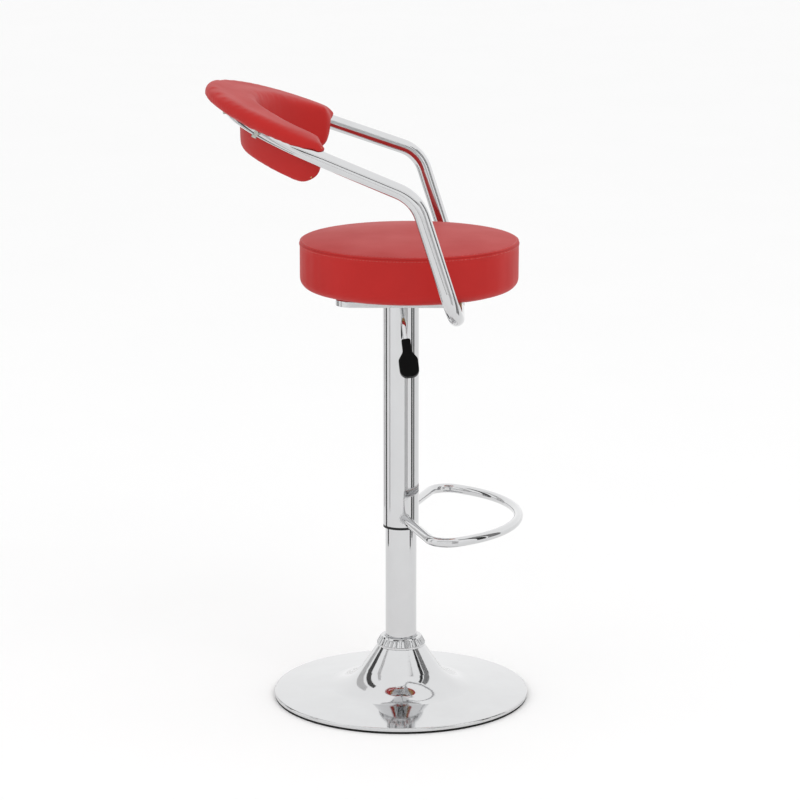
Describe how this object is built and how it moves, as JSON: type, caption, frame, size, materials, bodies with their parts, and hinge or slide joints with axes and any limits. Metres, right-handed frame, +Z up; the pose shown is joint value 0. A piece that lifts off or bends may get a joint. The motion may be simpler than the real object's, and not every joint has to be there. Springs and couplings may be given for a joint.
{
  "type": "swivel stool",
  "caption": "Round padded swivel stool with a chromed trumpet base, telescopic gas-lift column, looped footrest, height lever and a sloping horseshoe armrest that carries a padded back.",
  "frame": {"origin": "on the floor, at the centre of the base ring and on the column axis", "axes": "+Z up along the column axis, the sitter faces -Y, and the height lever is on the -X side, the sitter's right"},
  "size_m": [0.5094, 0.5115, 0.9941],
  "materials": {
    "chrome_base": "polished chrome plate on spun steel",
    "chrome_tube": "polished chrome plate on steel tube",
    "chrome_trim": "polished chrome plate",
    "chrome_plate": "chrome plate over pressed sheet",
    "zinc_steel": "bright zinc plate",
    "bare_steel": "ground bearing steel",
    "black_steel": "black paint, satin",
    "piston_alloy": "machined",
    "rubber": "matt black rubber",
    "bush_plastic": "moulded black plastic",
    "cage_plastic": "natural moulded plastic",
    "grip_plastic": "moulded black plastic, fine grain",
    "plywood": "plain plywood",
    "foam": "open-cell upholstery foam",
    "red_vinyl": "smooth coated fabric, soft sheen",
    "red_vinyl_pad": "smooth coated fabric over moulded padding, soft sheen"
  },
  "bodies": {
    "base": {"base_shell": "chrome_base", "base_plate": "black_steel", "base_rim_seal": "rubber", "collar_ring": "chrome_trim", "column_foot": "zinc_steel", "foot_bolts": "zinc_steel", "foot_nuts": "zinc_steel", "lower_column": "chrome_tube", "guide_bush": "bush_plastic", "bearing_lower_race": "bare_steel", "bearing_balls": "bare_steel", "bearing_cage": "cage_plastic"},
    "rod": {"bearing_upper_race": "bare_steel", "piston_rod": "bare_steel", "rod_clip": "bare_steel", "bump_stop": "rubber", "piston": "piston_alloy", "piston_ring": "rubber"},
    "upper": {"rod_guide": "cage_plastic", "rod_seal": "rubber", "gas_cylinder": "black_steel", "upper_sleeve": "chrome_tube", "sleeve_bush": "bush_plastic", "footrest": "chrome_tube", "seat_plate": "chrome_plate", "taper_hub": "black_steel", "lever_bracket": "zinc_steel", "lever_pin": "zinc_steel", "frame_tube": "chrome_tube", "seat_board": "plywood", "seat_foam": "foam", "seat_cover_side": "red_vinyl", "seat_cover_top": "red_vinyl", "seat_screws": "zinc_steel", "tee_nuts": "zinc_steel", "crest_board": "plywood", "crest_pad": "red_vinyl_pad", "crest_screws": "zinc_steel", "back_board": "plywood", "back_pad": "red_vinyl_pad", "back_screws": "zinc_steel"},
    "lever": {"lever_rod": "chrome_trim", "lever_grip": "grip_plastic"},
    "valve": {"valve_button": "bare_steel"}
  },
  "joints": [
    {"name": "swivel", "type": "hinge", "parent": "base", "child": "rod", "pos_m": [0, 0, 0.02], "axis": [0, 0, 1], "continuous": true},
    {"name": "height", "type": "slide", "parent": "rod", "child": "upper", "axis": [0, 0, 1], "range_m": [-0.17, 0.04]},
    {"name": "lever", "type": "hinge", "parent": "upper", "child": "lever", "pos_m": [-0.036, 0, 0.6638], "axis": [0, 1, 0], "range_deg": [0, 5], "stiffness_Nm_per_rad": 2},
    {"name": "valve_press", "type": "slide", "parent": "upper", "child": "valve", "axis": [0, 0, -1], "range_m": [0, 0.0034], "stiffness_N_per_m": 300}
  ],
  "couplings": [
    {"joint": "valve_press", "follows": "lever", "m_per_rad": 0.0375}
  ]
}
